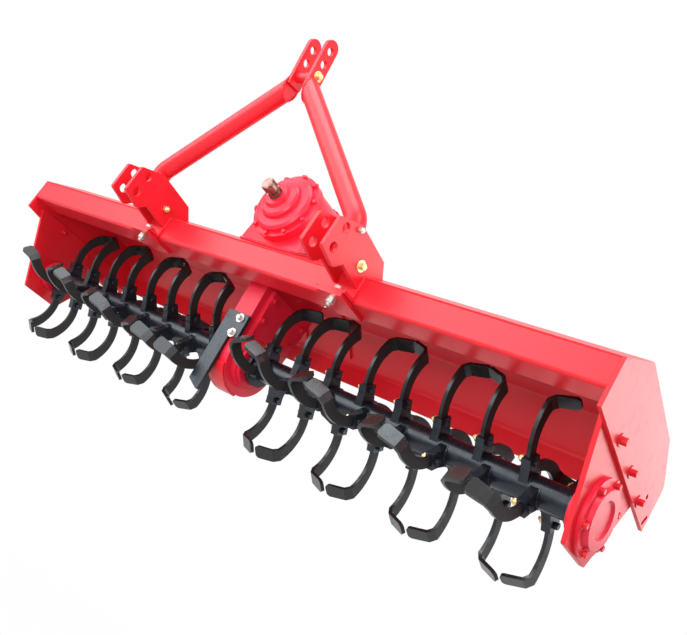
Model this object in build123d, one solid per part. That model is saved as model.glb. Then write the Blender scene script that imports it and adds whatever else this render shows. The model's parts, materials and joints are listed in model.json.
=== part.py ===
# Rotary tiller for a tractor: hooded rotor of bolted scoop blades, centre drive and three-point hitch.
# Sizes are in millimetres. Shapes are drawn about the rotor axis: X along the rotor with +X to the
# machine's left, Y to the rear, Z up. At the end they move so that the origin is midway between the
# lower hitch pins.
import os
from math import atan2, cos, radians, sin

from build123d import *

# Frame
HALF_WIDTH = 1200.0
END_PLATE = 10.0
SHEET = 5.0
RUN_CLEARANCE = 0.3
SEAT_CLEARANCE = 0.3
SAME_PLACE = 0.01
BEAM_FRONT = -268.0
BEAM_DEPTH = 100.0
BEAM_BOTTOM = 195.0
BEAM_WALL = 8.0
BEAM_TOP_FRONT = 274.0
HOOD_RIDGE_Y = -122.0
HOOD_RIDGE_Z = 348.0
HOOD_BACK_Y = 196.0
HOOD_BACK_Z = 300.0
HOOD_REAR_Y = 316.0
HOOD_REAR_Z = 215.0
HOOD_LIP_Z = 143.0
PLATE_NOSE_Z = 151.0
PLATE_TAIL_Y = 307.0
PLATE_TAIL_Z = 85.0
PLATE_CORNER = 8.0
HOOD_BEND_R = 30.0
TAIL_HOLE = (228.0, 151.0)
TAIL_HOLE_R = 7.0
TAIL_SLOT = (287.0, 109.0)
TAIL_SLOT_SIZE = (34.0, 12.0)
TAIL_SLOT_LEAN = 60.0
BEAM_CORNER = 10.0

# Rotor bearings
BEARING_PLATE = 12.0
BEARING_PLATE_TOP = 180.0
BEARING_PLATE_HALF_TOP = 222.0
BEARING_PLATE_HALF_FOOT = 80.0
BEARING_PLATE_FOOT = -100.0
SPIGOT_R = 60.0
SPIGOT_REACH = 30.0
FLANGE_R = 95.0
FLANGE_T = 12.0
NECK_R = 76.0
NECK_REACH = 12.0
NECK_TAPER = 4.0
NECK_DISH_R = 48.0
NECK_DISH = 6.0

# Rotor
TUBE_R = 38.0
HUB_R = 60.0
HUB_T = 15.0
STUB_R = 25.0
STUB_COLLAR_R = 44.0
STUB_COLLAR_T = 6.0
STUB_GAP = 6.0
STUB_SEAT = 45.0
CASE_HUB_GAP = 8.0
SOCKET_TOP = 84.0
SOCKET_WALL = 7.0
SOCKET_FLOOR = 46.0
SOCKET_ROOT = 20.0
SOCKET_SHOULDER = 60.0
SOCKET_FLARE = 8.0
SHANK_T = 10.0
SHANK_W = 28.0
SICKLE_R = 132.0
SICKLE_TRAIL_R = 102.0
SICKLE_TURN = 88.0
SCOOP_REACH = 62.0
SCOOP_START = 149.0
SCOOP_FOLD = 22.0
SCOOP_BEND = 72.0
SCOOP_LEAN = 63.0
SCOOP_CORNER = 12.0
BLADES_PER_HALF = 32
BLADES_PER_TURN = 4
BLADE_DRIFT = 1.0
BLADE_FIRST_ANGLE = 21.0
BLADE_END_GAP = 18.0

# Centre drive
CASE_HALF = 47.0
CASE_R = 108.0
CASE_BOSS_R = 75.0
CASE_BOSS = 12.0
CASE_TOP = 352.0
CASE_TOP_HALF = 138.0
CASE_COVER = 16.0
COVER_INSET = 26.0
COVER_TOP = 270.0
GUARD_T = 6.0
GUARD_HALF = 36.0
GUARD_X = -7.0
GUARD_START = 208.0
GUARD_SWEEP = 70.0
KNIFE_T = 12.0
KNIFE_X = -55.0
KNIFE_W = 55.0
KNIFE_TOP = 105.0
KNIFE_FOOT = -165.0
KNIFE_POINT = 25.0
KNIFE_PLATE_W = 94.0
KNIFE_PLATE = 78.0
KNIFE_CORNER = 6.0

# Gearbox
PTO_Z = 446.0
BOX_FLOOR_T = 16.0
BOX_HALF = 150.0
BOX_CORNER = 24.0
BOX_FRONT = -212.0
BOX_REAR = 110.0
BOX_HOOD_GAP = 4.0
BODY_R = 110.0
PEDESTAL_HALF = 134.0
BODY_REAR = 84.0
BODY_FLANGE_R = 116.0
BODY_FLANGE_T = 16.0
REAR_COVER_R = 96.0
REAR_COVER_T = 14.0
REAR_DOME_R = 62.0
CROSS_R = 84.0
CROSS_HALF = 138.0
CROSS_Y = -40.0
FILLER_R = 20.0
FILLER_TOP = 12.0
RAIL_T = 16.0
RAIL_X = 120.0
CAP_PROFILE = ((0.0, 116.0), (14.0, 116.0), (14.0, 102.0), (28.0, 100.0), (35.0, 92.0), (38.0, 70.0),
               (50.0, 67.0), (56.0, 60.0), (60.0, 44.0), (73.0, 38.0))
INPUT_R = 22.0
INPUT_ROOT_R = 18.5
INPUT_TIP = -336.0
INPUT_SEAT = 60.0
INPUT_CHAMFER = 3.0
SPLINES = 6
SPLINE_W = 11.0
SPLINE_GROOVE = (26.0, 34.0)

# Hitch
LINK_Y = -428.0
LINK_Z = 256.0
LINK_X = 430.0
LINK_STEP = 61.0
LINK_PIN_R = 14.35
HITCH_PLATE = 12.0
LEG = 60.0
LEG_BEND_R = 50.0
LEG_FOOT_Z = 266.0
LEG_BEND_Z = 378.0
LEG_BEND_Y = -368.0
LEG_HEAD_DROP = 39.0
MAST_Z = 763.0
MAST_Y = -443.0
STRAP_GAP = 60.0
STRAP_T = 12.0
STRAP_W = 54.0
STRAP_LEAN = 9.0
STRAP_BELOW = 35.0
STRAP_ABOVE = 105.0
STRAP_HOLES = (50.0, 96.0)
TOP_PIN_R = 12.85
SPACER_R = 17.0
BRACKET_NOSE = 36.0
BRACKET_CHIN = 21.0
BRACKET_BROW = 11.0
BRACKET_CROWN_Y = 44.0
BRACKET_CROWN = 44.0
BRACKET_HEEL_Y = 191.0
BRACKET_HEEL = 29.0
BRACKET_TAIL_Y = 227.0
BRACKET_NOTCH_Y = 63.0
BRACKET_NOTCH = 9.0
BRACKET_TOE_Y = 36.0
BRACKET_TOE = 37.0
BRACKET_UNDER = 25.0
BRACKET_CORNER = 9.0
BRACKET_FRONT_CORNERS = 4
SADDLE_T = 8.0
SADDLE_HALF = 52.0
SADDLE_SHELF = 46.0
CLAMP_T = 12.0
CLAMP_HALF = 45.0
CLAMP_SHORT = 20.0
RIB_T = 8.0
RIB_W = 30.0
RIB_X = 104.0
RIB_END = 0.85

# Worked-out places
INNER_FACE = HALF_WIDTH - END_PLATE
BEARING_FACE = INNER_FACE - BEARING_PLATE
BEAM_REAR = BEAM_FRONT + BEAM_DEPTH
FRONT_SLOPE = (HOOD_RIDGE_Z - BEAM_TOP_FRONT) / (HOOD_RIDGE_Y - BEAM_FRONT)
TOP_SLOPE = (HOOD_BACK_Z - HOOD_RIDGE_Z) / (HOOD_BACK_Y - HOOD_RIDGE_Y)
HUB_OUT = BEARING_FACE - SPIGOT_REACH - STUB_GAP
TUBE_OUT = HUB_OUT - STUB_COLLAR_T
HUB_IN = CASE_HALF + CASE_BOSS + CASE_HUB_GAP
TUBE_IN = HUB_IN + HUB_T
PLATE_GAP = LEG + 2 * SEAT_CLEARANCE
HEAD_Y = MAST_Y + LEG_HEAD_DROP * sin(radians(STRAP_LEAN))
HEAD_Z = MAST_Z - LEG_HEAD_DROP * cos(radians(STRAP_LEAN))
LEG_SLOPE = (HEAD_Y - LEG_BEND_Y) / (HEAD_Z - LEG_BEND_Z)
CASE_LEAN = atan2(CASE_TOP_HALF - CASE_R, CASE_TOP)
LEG_FOOT_Y = LEG_BEND_Y - LEG_SLOPE * (LEG_BEND_Z - LEG_FOOT_Z)
ORIGIN_SHIFT = Location((0, -LINK_Y, -LINK_Z))

os.makedirs("parts", exist_ok=True)


def save(name, shape):
    """Move a finished piece to the hitch origin and write it under its node's name."""
    moved = ORIGIN_SHIFT * shape
    moved.label = name
    export_step(moved, f"parts/{name}.step")


def corners(sketch, points):
    """The sketch's corners that lie on the given points."""
    places = [Vector(*point) for point in points]
    return [v for v in sketch.vertices() if min((v.center() - p).length for p in places) < SAME_PLACE]


def outline(points, corner=0.0, at=None):
    """Closed outline through (y, z) points; a corner radius rounds all of them or those listed."""
    sketch = make_face(Polyline(*points, close=True))
    if corner:
        sketch = fillet(corners(sketch, at or points), corner)
    return sketch


def slab(sketch, x_from, x_to):
    """A (y, z) outline given thickness from one X to another."""
    return Pos(x_from, 0, 0) * extrude(Plane.YZ * sketch, amount=x_to - x_from)


def rod(radius, x_from, x_to, y=0.0, z=0.0):
    """Round bar along X."""
    return slab(Pos(y, z) * Circle(radius), x_from, x_to)


def hood_top(y):
    """Height of the hood's outer face over a point between its front edge and its back fold."""
    if y < HOOD_RIDGE_Y:
        return BEAM_TOP_FRONT + (y - BEAM_FRONT) * FRONT_SLOPE
    return HOOD_RIDGE_Z + (y - HOOD_RIDGE_Y) * TOP_SLOPE


def both_sides(name, shape):
    """Write a piece drawn on the left-hand (+X) side, and its mirror image."""
    save(f"{name}_left", shape)
    save(f"{name}_right", mirror(shape, about=Plane.YZ))


# Main beam: a box section whose top lies under the hood's sloped front
top_drop = SHEET * (1 + FRONT_SLOPE ** 2) ** 0.5
beam_foot = [(BEAM_FRONT, BEAM_BOTTOM), (BEAM_REAR, BEAM_BOTTOM)]
beam_section = outline(
    [
        beam_foot[0],
        (BEAM_FRONT, BEAM_TOP_FRONT - top_drop),
        (BEAM_REAR, hood_top(BEAM_REAR) - top_drop),
        beam_foot[1],
    ],
    BEAM_CORNER,
    beam_foot,
)
beam_bore = offset(beam_section, amount=-BEAM_WALL, kind=Kind.INTERSECTION)
save("main_beam", slab(beam_section - beam_bore, -INNER_FACE, INNER_FACE))

# Hood: one bent sheet from the beam's front edge over the rotor to the rear lip
hood_line = [
    (BEAM_FRONT, BEAM_TOP_FRONT),
    (HOOD_RIDGE_Y, HOOD_RIDGE_Z),
    (HOOD_BACK_Y, HOOD_BACK_Z),
    (HOOD_REAR_Y, HOOD_REAR_Z),
    (HOOD_REAR_Y, HOOD_LIP_Z),
]


def offset_line(points, distance):
    """The line of points moved sideways to its right, its corners mitred."""
    moved = []
    last = len(points) - 1
    for i, (y, z) in enumerate(points):
        sides = []
        for start, end in ((max(i - 1, 0), i), (i, min(i + 1, last))):
            run = Vector(points[end][0] - points[start][0], points[end][1] - points[start][1])
            if run.length > 0:
                sides.append(Vector(run.Y, -run.X).normalized())
        middle = (sides[0] + sides[-1]).normalized()
        reach = distance / middle.dot(sides[0])
        moved.append((y + middle.X * reach, z + middle.Y * reach))
    return moved


def bent_sheet(points, thickness, outer_r):
    """Cross-section of a sheet bent along the points, which lie on the outer side of its bends."""
    middle = offset_line(points, thickness / 2)
    return trace(FilletPolyline(*middle, radius=outer_r - thickness / 2), thickness)


hood = slab(bent_sheet(hood_line, SHEET, HOOD_BEND_R), -INNER_FACE, INNER_FACE)
case_slot = Box(
    2 * (CASE_HALF + SEAT_CLEARANCE), 2 * (CASE_TOP_HALF + SEAT_CLEARANCE), CASE_TOP,
    align=(Align.CENTER, Align.CENTER, Align.MIN),
)
save("hood_sheet", hood - case_slot)

# Ribs on the hood's inner face, from the beam back over the fold
inner_line = offset_line(hood_line, SHEET)
(ridge_y, ridge_z), (back_y, back_z), (rear_y, rear_z) = inner_line[1:4]
rib_line = [
    (BEAM_REAR, hood_top(BEAM_REAR) - top_drop),
    (ridge_y, ridge_z),
    (back_y, back_z),
    (back_y + (rear_y - back_y) * RIB_END, back_z + (rear_z - back_z) * RIB_END),
]
rib = bent_sheet(rib_line, RIB_T, HOOD_BEND_R - SHEET)
both_sides("hood_rib", slab(rib, RIB_X - RIB_W / 2, RIB_X + RIB_W / 2))

# End plates, with the hole and the slot near the tail
end_outline = outline(
    [(BEAM_FRONT, PLATE_NOSE_Z), (PLATE_TAIL_Y, PLATE_TAIL_Z)] + hood_line[3::-1],
    HOOD_BEND_R,
    hood_line[1:4],
)
end_outline -= Pos(*TAIL_HOLE) * Circle(TAIL_HOLE_R)
end_outline -= Pos(*TAIL_SLOT) * Rot(Z=TAIL_SLOT_LEAN) * SlotOverall(*TAIL_SLOT_SIZE)
both_sides("end_plate", slab(end_outline, INNER_FACE, HALF_WIDTH))

# Bearing plates: inverted trapezoids bolted inside the end plates
bearing_outline = outline(
    [
        (-BEARING_PLATE_HALF_TOP, BEARING_PLATE_TOP),
        (-BEARING_PLATE_HALF_FOOT, BEARING_PLATE_FOOT),
        (BEARING_PLATE_HALF_FOOT, BEARING_PLATE_FOOT),
        (BEARING_PLATE_HALF_TOP, BEARING_PLATE_TOP),
    ],
    PLATE_CORNER,
)
bearing_plate = slab(bearing_outline - Circle(SPIGOT_R + SEAT_CLEARANCE), BEARING_FACE, INNER_FACE)
both_sides("bearing_plate", bearing_plate)


def spun(points, axis, plane):
    """A turned piece: its profile of (distance along the axis, radius) points, closed on the axis."""
    first, last = points[0][0], points[-1][0]
    profile = make_face(Polyline((first, 0), *points, (last, 0), close=True))
    return revolve(plane * profile, axis=axis)


# Bearing housings: spigot through the bearing plate, flange and a dished cover
neck_end = INNER_FACE + FLANGE_T + NECK_REACH
housing = spun(
    [
        (BEARING_FACE - SPIGOT_REACH, SPIGOT_R),
        (INNER_FACE, SPIGOT_R),
        (INNER_FACE, FLANGE_R),
        (INNER_FACE + FLANGE_T, FLANGE_R),
        (INNER_FACE + FLANGE_T, NECK_R),
        (neck_end, NECK_R - NECK_TAPER),
        (neck_end, NECK_DISH_R),
        (neck_end - NECK_DISH, NECK_DISH_R - NECK_DISH),
    ],
    Axis.X,
    Plane.XY,
)
stub_end = BEARING_FACE - SPIGOT_REACH + STUB_SEAT
housing -= rod(STUB_R + RUN_CLEARANCE, BEARING_FACE - SPIGOT_REACH, stub_end + RUN_CLEARANCE)
both_sides("bearing_housing", housing)

# Rotor ends: outer stub shafts and the inner hubs that enter the drive case
stub = rod(STUB_COLLAR_R, TUBE_OUT, HUB_OUT) + rod(STUB_R, HUB_OUT, stub_end)
both_sides("rotor_stub", stub)
hub = rod(HUB_R, HUB_IN, TUBE_IN) + rod(STUB_R, HUB_IN - CASE_HUB_GAP - CASE_BOSS, HUB_IN)
both_sides("rotor_hub", hub)


def blade(hand):
    """One scoop blade with its shank upright; hand 1 turns the scoop to +X, -1 to -X."""
    half = SHANK_W / 2
    lead = CenterArc((SICKLE_R, SOCKET_TOP), SICKLE_R + half, 180, -SICKLE_TURN)
    trail_centre = (half + SICKLE_TRAIL_R, SOCKET_TOP)
    trail = CenterArc(trail_centre, SICKLE_TRAIL_R, 180 - SICKLE_TURN, SICKLE_TURN)
    edges = [
        Line((half, SOCKET_FLOOR), (-half, SOCKET_FLOOR)),
        Line((-half, SOCKET_FLOOR), lead @ 0),
        lead,
        Line(lead @ 1, trail @ 0),
        trail,
        Line(trail @ 1, (half, SOCKET_FLOOR)),
    ]
    side = slab(make_face(edges), -SHANK_T, SCOOP_REACH + SHANK_T)
    lean = radians(SCOOP_LEAN)
    bend_plane = Plane(origin=(0, 0, 0), x_dir=(1, 0, 0), z_dir=(0, -cos(lean), sin(lean)))
    half_turn = radians(SCOOP_BEND / 2)
    whole_turn = radians(SCOOP_BEND)
    fold = Vector(sin(half_turn), cos(half_turn)) * SCOOP_FOLD
    run = (SCOOP_REACH + SHANK_T / 2 - fold.X) / sin(whole_turn)
    start = Vector(-SHANK_T / 2, SCOOP_START)
    tip = start + fold + Vector(sin(whole_turn), cos(whole_turn)) * run
    back = [(p.X, p.Y) for p in (Vector(-SHANK_T / 2, 0), start, start + fold, tip)]
    profile = outline(back + offset_line(back, SHANK_T)[::-1])
    made = side & extrude(bend_plane * profile, amount=SICKLE_R * 2, both=True)
    end = made.faces().sort_by(Axis.X)[-1]
    made = fillet([edge for edge in end.edges() if edge.length < 1.5 * SHANK_T], SCOOP_CORNER)
    return made if hand > 0 else mirror(made, about=Plane.YZ)


def socket():
    """Blade holder welded to the tube: a block with a flared foot and a slot for the shank."""
    half_x = SHANK_T / 2 + SOCKET_WALL + SEAT_CLEARANCE
    half_y = SHANK_W / 2 + SOCKET_WALL + SEAT_CLEARANCE
    near = [(half_y + SOCKET_FLARE, SOCKET_ROOT), (half_y, SOCKET_SHOULDER), (half_y, SOCKET_TOP)]
    far = [(-y, z) for y, z in near[::-1]]
    block = slab(outline(near + far), -half_x, half_x)
    slot = Pos(0, 0, SOCKET_FLOOR) * Box(
        SHANK_T + 2 * SEAT_CLEARANCE, SHANK_W + 2 * SEAT_CLEARANCE, SOCKET_TOP,
        align=(Align.CENTER, Align.CENTER, Align.MIN),
    )
    return block - slot


# Rotor halves: tube with its sockets, and the blades by hand. The right half repeats the left half's
# run of angles half a turn on, which balances the rotor.
blade_start = TUBE_IN + BLADE_END_GAP
blade_pitch = (TUBE_OUT - BLADE_END_GAP - blade_start) / (BLADES_PER_HALF - 1)
one_socket = socket()
hands = {1: blade(1), -1: blade(-1)}
for side, mark in ((1, "left"), (-1, "right")):
    tube = rod(TUBE_R, *sorted((side * TUBE_IN, side * TUBE_OUT)))
    sets = {1: [], -1: []}
    for i in range(BLADES_PER_HALF):
        step = i if side > 0 else BLADES_PER_HALF - 1 - i
        angle = BLADE_FIRST_ANGLE + step * (360 / BLADES_PER_TURN + BLADE_DRIFT)
        half_turn = 0 if side > 0 else 180
        place = Pos(side * (blade_start + i * blade_pitch), 0, 0) * Rot(X=angle + half_turn)
        tube += place * one_socket
        outward = i == 0 or (i + BLADES_PER_TURN - 1) // BLADES_PER_TURN % 2 == 1
        hand = 1 if outward else -1
        sets[hand * side].append(place * hands[hand * side])
    save(f"rotor_tube_{mark}", tube)
    for hand, word in ((1, "left_hand"), (-1, "right_hand")):
        save(f"blades_{mark}_{word}", Compound([made.solid() for made in sets[hand]]))

# Centre drive case: round foot about the rotor axis, sides that spread to the gearbox, and a side cover
case_foot = CASE_R / cos(CASE_LEAN)
case_taper = [(-case_foot, 0), (-CASE_TOP_HALF, CASE_TOP), (CASE_TOP_HALF, CASE_TOP), (case_foot, 0)]
case_outline = Circle(CASE_R) + outline(case_taper)
cover_x = CASE_HALF - CASE_COVER
case = slab(case_outline, -CASE_HALF, cover_x)
cover = offset(case_outline, amount=-COVER_INSET)
cover &= Pos(0, COVER_TOP / 2 - CASE_R) * Rectangle(4 * CASE_R, COVER_TOP + CASE_R)
case += slab(cover, cover_x, CASE_HALF)
case += rod(CASE_BOSS_R, -CASE_HALF - CASE_BOSS, CASE_HALF + CASE_BOSS)
for side in (-1, 1):
    bore = rod(STUB_R + RUN_CLEARANCE, CASE_HALF - RUN_CLEARANCE, CASE_HALF + CASE_BOSS)
    case -= bore if side > 0 else mirror(bore, about=Plane.YZ)
save("centre_case", case)


# Guard bent round the front of the case's foot
def on_circle(radius, angle):
    """A (y, z) point round the rotor axis."""
    return (radius * cos(radians(angle)), radius * sin(radians(angle)))


guard_ring = Circle(CASE_R + GUARD_T) - Circle(CASE_R)
guard_pie = [
    (0, 0),
    on_circle(2 * CASE_R, GUARD_START),
    on_circle(4 * CASE_R, GUARD_START + GUARD_SWEEP / 2),
    on_circle(2 * CASE_R, GUARD_START + GUARD_SWEEP),
]
save("centre_guard", slab(guard_ring & outline(guard_pie), GUARD_X - GUARD_HALF, GUARD_X + GUARD_HALF))

# Fixed knife: a bar with a bolting plate at its top, flat on the case's leaning front
plate_foot = KNIFE_TOP - KNIFE_PLATE
knife_outline = outline(
    [
        (0, KNIFE_TOP),
        (0, KNIFE_FOOT + KNIFE_POINT),
        (KNIFE_W, KNIFE_FOOT),
        (KNIFE_W, plate_foot),
        (KNIFE_PLATE_W, plate_foot),
        (KNIFE_PLATE_W, KNIFE_TOP),
    ],
    KNIFE_CORNER,
)
top_corner = Vector(0, -CASE_TOP_HALF, CASE_TOP)
front_up = top_corner - Vector(0, -case_foot, 0)
case_front = Plane(origin=(0, -case_foot, 0), x_dir=(1, 0, 0), z_dir=Vector(1, 0, 0).cross(front_up))
save("centre_knife", extrude(case_front * Pos(KNIFE_X, 0) * knife_outline, amount=KNIFE_T))

# Gearbox casting: arched body on a spreading foot, front flange, rear and side covers, floor flange
pto_plane = Plane(origin=(0, 0, PTO_Z), x_dir=(1, 0, 0), z_dir=(0, -1, 0))
pto_axis = Axis((0, 0, PTO_Z), (0, -1, 0))
pto_side = Plane(origin=(0, 0, PTO_Z), x_dir=(0, 1, 0), z_dir=(1, 0, 0))


def turned(radius, y_from, y_to):
    """Round bar along the input axis."""
    return extrude(pto_plane * Circle(radius), amount=y_from - y_to).moved(Location((0, y_from, 0)))


pedestal_foot = BEAM_TOP_FRONT - PTO_Z
pedestal = [(-BODY_R, 0), (BODY_R, 0), (PEDESTAL_HALF, pedestal_foot), (-PEDESTAL_HALF, pedestal_foot)]
arch = Circle(BODY_R) + outline(pedestal)
body_front = BOX_FRONT + BODY_FLANGE_T
body = extrude(pto_plane * arch, amount=BODY_REAR - body_front).moved(Location((0, BODY_REAR, 0)))
gearbox = body + turned(BODY_FLANGE_R, body_front, BOX_FRONT)
gearbox += turned(REAR_COVER_R, BODY_REAR + REAR_COVER_T, BODY_REAR)
gearbox += turned(REAR_DOME_R, BOX_REAR, BODY_REAR)
gearbox += rod(CROSS_R, -CROSS_HALF, CROSS_HALF, CROSS_Y, PTO_Z)
filler = Pos(0, CROSS_Y, PTO_Z) * extrude(Circle(FILLER_R), amount=BODY_R + FILLER_TOP)
gearbox += filler
floor_plan = RectangleRounded(2 * BOX_HALF, BOX_REAR - HOOD_RIDGE_Y, BOX_CORNER)
floor = extrude(floor_plan, amount=BOX_FLOOR_T)
gearbox += Pos(0, (BOX_REAR + HOOD_RIDGE_Y) / 2, CASE_TOP) * floor
below = outline(
    [
        (BEAM_FRONT, 0),
        (BEAM_FRONT, BEAM_TOP_FRONT + BOX_HOOD_GAP),
        (-CASE_TOP_HALF, CASE_TOP),
        (HOOD_REAR_Y, CASE_TOP),
        (HOOD_REAR_Y, 0),
    ]
)
gearbox -= slab(below, -2 * BOX_HALF, 2 * BOX_HALF)
gearbox -= turned(INPUT_R + RUN_CLEARANCE, BOX_FRONT + INPUT_SEAT, BOX_FRONT)
save("gearbox_case", gearbox)

# Rails between the hood and the gearbox floor
rail = outline(
    [
        (HOOD_RIDGE_Y + HOOD_BEND_R, hood_top(HOOD_RIDGE_Y + HOOD_BEND_R)),
        (BOX_REAR, hood_top(BOX_REAR)),
        (BOX_REAR, CASE_TOP),
        (HOOD_RIDGE_Y + HOOD_BEND_R, CASE_TOP),
    ]
)
both_sides("gearbox_rail", slab(rail, RAIL_X - RAIL_T / 2, RAIL_X + RAIL_T / 2))

# Input cap: a stepped cover with soft shoulders, and the splined input shaft
cap_points = [(BOX_FRONT - ahead, radius) for ahead, radius in CAP_PROFILE]
seal_front = cap_points[-1][0]
input_cap = spun(cap_points, pto_axis, pto_side)
input_cap -= turned(INPUT_R + RUN_CLEARANCE, BOX_FRONT, seal_front)
save("input_cap", input_cap)
spline_section = Circle(INPUT_ROOT_R)
for i in range(SPLINES):
    spline_section += Rot(Z=i * 360 / SPLINES) * Pos(INPUT_R / 2, 0) * Rectangle(INPUT_R, SPLINE_W)
splines = extrude(pto_plane * spline_section, amount=seal_front - INPUT_TIP)
splines = Pos(0, seal_front, 0) * splines
groove_from, groove_to = (INPUT_TIP + ahead for ahead in SPLINE_GROOVE)
envelope = spun(
    [
        (seal_front, INPUT_R),
        (groove_to, INPUT_R),
        (groove_to, INPUT_ROOT_R),
        (groove_from, INPUT_ROOT_R),
        (groove_from, INPUT_R),
        (INPUT_TIP + INPUT_CHAMFER, INPUT_R),
        (INPUT_TIP, INPUT_R - INPUT_CHAMFER),
    ],
    pto_axis,
    pto_side,
)
journal = turned(INPUT_R, BOX_FRONT + INPUT_SEAT - RUN_CLEARANCE, seal_front)
save("input_shaft", (splines & envelope) + journal)

# Lower hitch brackets: two plates a side that hold the leg's foot between them
upper_hole = LINK_Z + LINK_STEP
bracket = outline(
    [
        (LINK_Y - BRACKET_NOSE, LINK_Z - BRACKET_CHIN),
        (LINK_Y - BRACKET_NOSE, upper_hole + BRACKET_BROW),
        (LINK_Y + BRACKET_CROWN_Y, upper_hole + BRACKET_CROWN),
        (LINK_Y + BRACKET_HEEL_Y, upper_hole + BRACKET_HEEL),
        (LINK_Y + BRACKET_TAIL_Y, hood_top(LINK_Y + BRACKET_TAIL_Y)),
        (BEAM_FRONT, BEAM_TOP_FRONT),
        (BEAM_FRONT, LINK_Z - BRACKET_UNDER),
        (LINK_Y + BRACKET_NOTCH_Y, LINK_Z - BRACKET_NOTCH),
        (LINK_Y + BRACKET_TOE_Y, LINK_Z - BRACKET_TOE),
    ]
)
bracket = fillet(bracket.vertices().sort_by(Axis.X)[:BRACKET_FRONT_CORNERS], BRACKET_CORNER)
for step in (0, LINK_STEP):
    bracket -= Pos(LINK_Y, LINK_Z + step) * Circle(LINK_PIN_R)
inner_plate = LINK_X - PLATE_GAP / 2 - HITCH_PLATE
outer_plate = LINK_X + PLATE_GAP / 2
both_sides("hitch_plate_inner", slab(bracket, inner_plate, inner_plate + HITCH_PLATE))
both_sides("hitch_plate_outer", slab(bracket, outer_plate, outer_plate + HITCH_PLATE))

# Saddles on the beam's front under the plates, and the clamp plates below the beam
saddle_top = LINK_Z - BRACKET_UNDER
shelf_front = BEAM_FRONT - SADDLE_SHELF
saddle = outline(
    [
        (BEAM_FRONT, BEAM_BOTTOM),
        (BEAM_FRONT, saddle_top),
        (BEAM_FRONT - SADDLE_T, saddle_top),
        (BEAM_FRONT - SADDLE_T, BEAM_BOTTOM + SADDLE_T),
        (shelf_front, BEAM_BOTTOM + SADDLE_T),
        (shelf_front, BEAM_BOTTOM),
    ]
)
both_sides("hitch_saddle", slab(saddle, LINK_X - SADDLE_HALF, LINK_X + SADDLE_HALF))
clamp = outline(
    [
        (shelf_front, BEAM_BOTTOM),
        (BEAM_REAR - CLAMP_SHORT, BEAM_BOTTOM),
        (BEAM_REAR - CLAMP_SHORT, BEAM_BOTTOM - CLAMP_T),
        (shelf_front, BEAM_BOTTOM - CLAMP_T),
    ]
)
both_sides("beam_clamp", slab(clamp, LINK_X - CLAMP_HALF, LINK_X + CLAMP_HALF))


# Mast legs: round tubes bent above the bracket and cut against the straps
def mast_leg():
    """Left leg, swept from its foot round the bend to beyond the cut at the strap."""
    head_cut = STRAP_GAP / 2 + STRAP_T
    foot = Vector(LINK_X, LEG_FOOT_Y, LEG_FOOT_Z)
    knee = Vector(LINK_X, LEG_BEND_Y, LEG_BEND_Z)
    head = Vector(head_cut, HEAD_Y, HEAD_Z)
    beyond = head + (head - knee).normalized() * LEG
    path = FilletPolyline(foot, knee, beyond, radius=LEG_BEND_R)
    start = Plane(origin=foot, x_dir=(1, 0, 0), z_dir=knee - foot)
    leg = sweep(start * Circle(LEG / 2), path=path)
    keep = Pos(head_cut, 0, 0) * Box(
        2 * LINK_X, 4 * MAST_Z, 4 * MAST_Z, align=(Align.MIN, Align.CENTER, Align.CENTER)
    )
    return leg & keep


both_sides("mast_leg", mast_leg())

# Mast straps with the top-link holes, and the spacer between them
strap_plane = Rot(Z=STRAP_LEAN)
strap = Pos(0, (STRAP_ABOVE - STRAP_BELOW) / 2) * Rectangle(STRAP_W, STRAP_ABOVE + STRAP_BELOW)
strap += Pos(0, STRAP_ABOVE) * Circle(STRAP_W / 2)
for up in STRAP_HOLES:
    strap -= Pos(0, up) * Circle(TOP_PIN_R)
strap = Pos(MAST_Y, MAST_Z) * strap_plane * strap
both_sides("mast_strap", slab(strap, STRAP_GAP / 2, STRAP_GAP / 2 + STRAP_T))
save("mast_spacer", rod(SPACER_R, -STRAP_GAP / 2, STRAP_GAP / 2, MAST_Y, MAST_Z))
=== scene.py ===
"""Rotary tiller: paint, fasteners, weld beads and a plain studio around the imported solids."""
import json
from math import cos, pi, radians, sin

import bmesh
import bpy
from bpy.props import FloatProperty, FloatVectorProperty, PointerProperty
from mathutils import Matrix, Vector


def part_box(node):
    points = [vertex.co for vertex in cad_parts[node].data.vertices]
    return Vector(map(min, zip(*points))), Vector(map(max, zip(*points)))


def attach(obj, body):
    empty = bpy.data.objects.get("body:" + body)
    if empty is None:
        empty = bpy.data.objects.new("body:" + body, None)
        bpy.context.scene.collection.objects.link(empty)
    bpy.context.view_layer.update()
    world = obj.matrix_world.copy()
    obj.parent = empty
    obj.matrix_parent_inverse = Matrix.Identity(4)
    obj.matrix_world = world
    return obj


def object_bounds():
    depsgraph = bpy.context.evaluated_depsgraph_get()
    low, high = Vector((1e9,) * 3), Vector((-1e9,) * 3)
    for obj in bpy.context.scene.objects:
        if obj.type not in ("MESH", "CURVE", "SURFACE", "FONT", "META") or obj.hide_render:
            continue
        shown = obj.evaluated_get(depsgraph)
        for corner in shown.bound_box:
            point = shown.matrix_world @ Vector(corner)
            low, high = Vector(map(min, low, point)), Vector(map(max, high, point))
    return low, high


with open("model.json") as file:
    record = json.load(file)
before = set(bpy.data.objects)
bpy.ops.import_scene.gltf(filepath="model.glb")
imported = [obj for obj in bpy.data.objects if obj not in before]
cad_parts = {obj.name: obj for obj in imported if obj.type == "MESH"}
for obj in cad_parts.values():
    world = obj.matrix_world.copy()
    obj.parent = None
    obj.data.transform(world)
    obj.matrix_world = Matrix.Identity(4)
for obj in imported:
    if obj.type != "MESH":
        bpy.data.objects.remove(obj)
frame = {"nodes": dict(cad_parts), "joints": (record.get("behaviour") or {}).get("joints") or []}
CAD_LOW, CAD_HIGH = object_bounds()
NODES = frame["nodes"]
JOINTS = {joint["name"]: joint for joint in frame["joints"]}
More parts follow.
